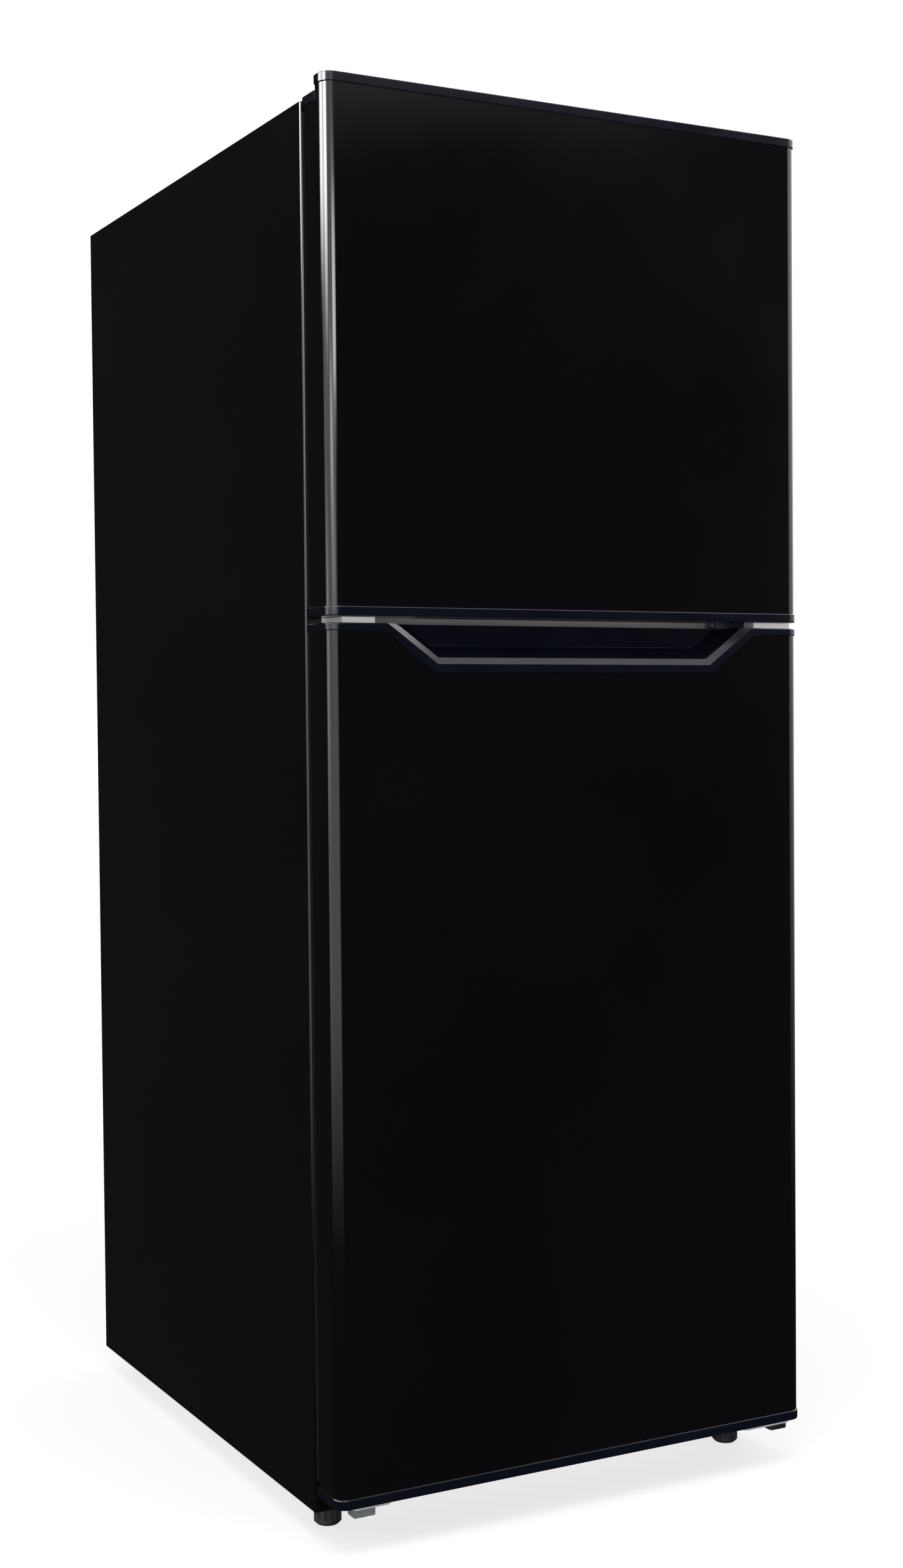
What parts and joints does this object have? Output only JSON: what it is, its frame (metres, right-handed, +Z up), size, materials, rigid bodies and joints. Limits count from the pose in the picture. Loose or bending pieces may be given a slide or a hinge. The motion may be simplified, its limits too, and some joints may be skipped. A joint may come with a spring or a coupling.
{
  "type": "top freezer refrigerator",
  "caption": "Free-standing refrigerator with a freezer compartment above, two right-hinged doors and a recessed trapezoid handle pocket between them.",
  "frame": {"origin": "on the floor, midway between the sides and midway between the doors' front and the cabinet's back", "axes": "+Z up, the doors face -Y, +X to the right as seen from the front"},
  "size_m": [0.595, 0.74, 1.525],
  "materials": {
    "cabinet_paint": "gloss black enamel",
    "door_paint": "high gloss black enamel",
    "cap_plastic": "glossy blue-black moulding",
    "liner_plastic": "satin white vacuum-formed plastic",
    "insulation": "foamed-in polyurethane",
    "mullion_paint": "satin grey enamel",
    "galvanised_steel": "zinc-coated sheet",
    "hinge_steel": "dark green-grey passivated steel",
    "pale_moulding": "light grey moulding",
    "grey_moulding": "mid grey moulding",
    "black_moulding": "satin black moulding",
    "screw_steel": "blackened screws",
    "compressor_paint": "semi-gloss black",
    "rubber": "matte",
    "copper_tube": "drawn copper tube",
    "fin_aluminium": "thin bright sheet",
    "white_moulding": "satin white moulding",
    "clear_plastic": "clear moulded polystyrene",
    "shelf_glass": "tempered plate",
    "frosted_plastic": "frosted moulding",
    "white_wire": "white coated wire",
    "nylon": "grey nylon"
  },
  "bodies": {
    "cabinet": {"cabinet_wrap": "cabinet_paint", "back_panel": "cabinet_paint", "base_pan": "galvanised_steel", "front_bottom_rail": "cabinet_paint", "mullion_bar": "mullion_paint", "freezer_liner": "liner_plastic", "fridge_liner": "liner_plastic", "cabinet_foam": "insulation", "top_hinge": "hinge_steel", "top_hinge_cover": "black_moulding", "centre_hinge": "hinge_steel", "centre_hinge_cover": "pale_moulding", "unused_hinge_filler": "pale_moulding", "bottom_hinge": "galvanised_steel", "bottom_hinge_boss": "black_moulding", "left_stop_bracket": "galvanised_steel", "left_stop_block": "grey_moulding", "hinge_screws": "screw_steel", "compressor_base": "galvanised_steel", "compressor": "compressor_paint", "compressor_grommets": "rubber", "evaporation_pan": "white_moulding", "refrigerant_pipes": "copper_tube", "rear_cover": "galvanised_steel", "mains_inlet_gland": "black_moulding", "evaporator": "fin_aluminium", "evaporator_cover": "white_moulding", "fan_motor": "black_moulding", "freezer_shelf": "white_wire", "shelf_glasses": "shelf_glass", "shelf_trims": "white_moulding", "control_box": "white_moulding", "lamp_lens": "frosted_plastic", "air_duct_cover": "white_moulding"},
    "freezer_door": {"freezer_door_skin": "door_paint", "freezer_door_top_cap": "cap_plastic", "freezer_door_bottom_cap": "cap_plastic", "freezer_door_foam": "insulation", "freezer_door_liner": "liner_plastic", "freezer_door_gasket": "rubber", "freezer_door_bin_lower": "clear_plastic", "freezer_door_bin_upper": "clear_plastic"},
    "fridge_door": {"fridge_door_skin": "door_paint", "fridge_door_handle_cap": "cap_plastic", "fridge_door_bottom_cap": "cap_plastic", "fridge_door_foam": "insulation", "fridge_door_liner": "liner_plastic", "fridge_door_gasket": "rubber", "fridge_door_bin_lower": "clear_plastic", "fridge_door_bin_middle": "clear_plastic", "fridge_door_bin_upper": "clear_plastic"},
    "crisper_drawer": {"crisper_drawer": "clear_plastic"},
    "thermostat_knob": {"thermostat_knob": "grey_moulding"},
    "airflow_slider": {"airflow_slider": "grey_moulding"},
    "door_switch_plunger": {"door_switch_plunger": "white_moulding"},
    "evaporator_fan": {"evaporator_fan": "white_moulding"},
    "front_foot_left": {"front_foot_left": "black_moulding"},
    "front_foot_right": {"front_foot_right": "black_moulding"},
    "rear_roller_left": {"rear_roller_left": "nylon"},
    "rear_roller_right": {"rear_roller_right": "nylon"}
  },
  "joints": [
    {"name": "freezer_door_hinge", "type": "hinge", "parent": "cabinet", "child": "freezer_door", "pos_m": [0.2815, -0.337, 1.25], "axis": [0, 0, 1], "range_deg": [0, 120]},
    {"name": "fridge_door_hinge", "type": "hinge", "parent": "cabinet", "child": "fridge_door", "pos_m": [0.2815, -0.337, 0.51], "axis": [0, 0, 1], "range_deg": [0, 120]},
    {"name": "crisper_drawer_slide", "type": "slide", "parent": "cabinet", "child": "crisper_drawer", "axis": [0, -1, 0], "range_m": [0, 0.176]},
    {"name": "door_switch_travel", "type": "slide", "parent": "cabinet", "child": "door_switch_plunger", "axis": [0, -1, 0], "range_m": [0, 0.0054]},
    {"name": "thermostat_turn", "type": "hinge", "parent": "cabinet", "child": "thermostat_knob", "pos_m": [-0.07, -0.205, 0.916], "axis": [0, -1, 0], "range_deg": [0, 270]},
    {"name": "airflow_travel", "type": "slide", "parent": "cabinet", "child": "airflow_slider", "axis": [1, 0, 0], "range_m": [-0.02, 0.02]},
    {"name": "evaporator_fan_spin", "type": "hinge", "parent": "cabinet", "child": "evaporator_fan", "pos_m": [0, 0.271, 1.335], "axis": [0, 1, 0], "continuous": true},
    {"name": "front_foot_left_turn", "type": "hinge", "parent": "cabinet", "child": "front_foot_left", "pos_m": [-0.262, -0.265, 0.02], "axis": [0, 0, 1], "range_deg": [0, 720]},
    {"name": "front_foot_right_turn", "type": "hinge", "parent": "cabinet", "child": "front_foot_right", "pos_m": [0.262, -0.265, 0.02], "axis": [0, 0, 1], "range_deg": [0, 720]},
    {"name": "rear_roller_left_roll", "type": "hinge", "parent": "cabinet", "child": "rear_roller_left", "pos_m": [-0.255, 0.325, 0.0155], "axis": [1, 0, 0], "continuous": true},
    {"name": "rear_roller_right_roll", "type": "hinge", "parent": "cabinet", "child": "rear_roller_right", "pos_m": [0.255, 0.325, 0.0155], "axis": [1, 0, 0], "continuous": true}
  ],
  "couplings": [
    {"joint": "crisper_drawer_slide", "follows": "fridge_door_hinge", "m_per_rad": 0.084},
    {"joint": "door_switch_travel", "follows": "fridge_door_hinge", "m_per_rad": 0.00257}
  ]
}
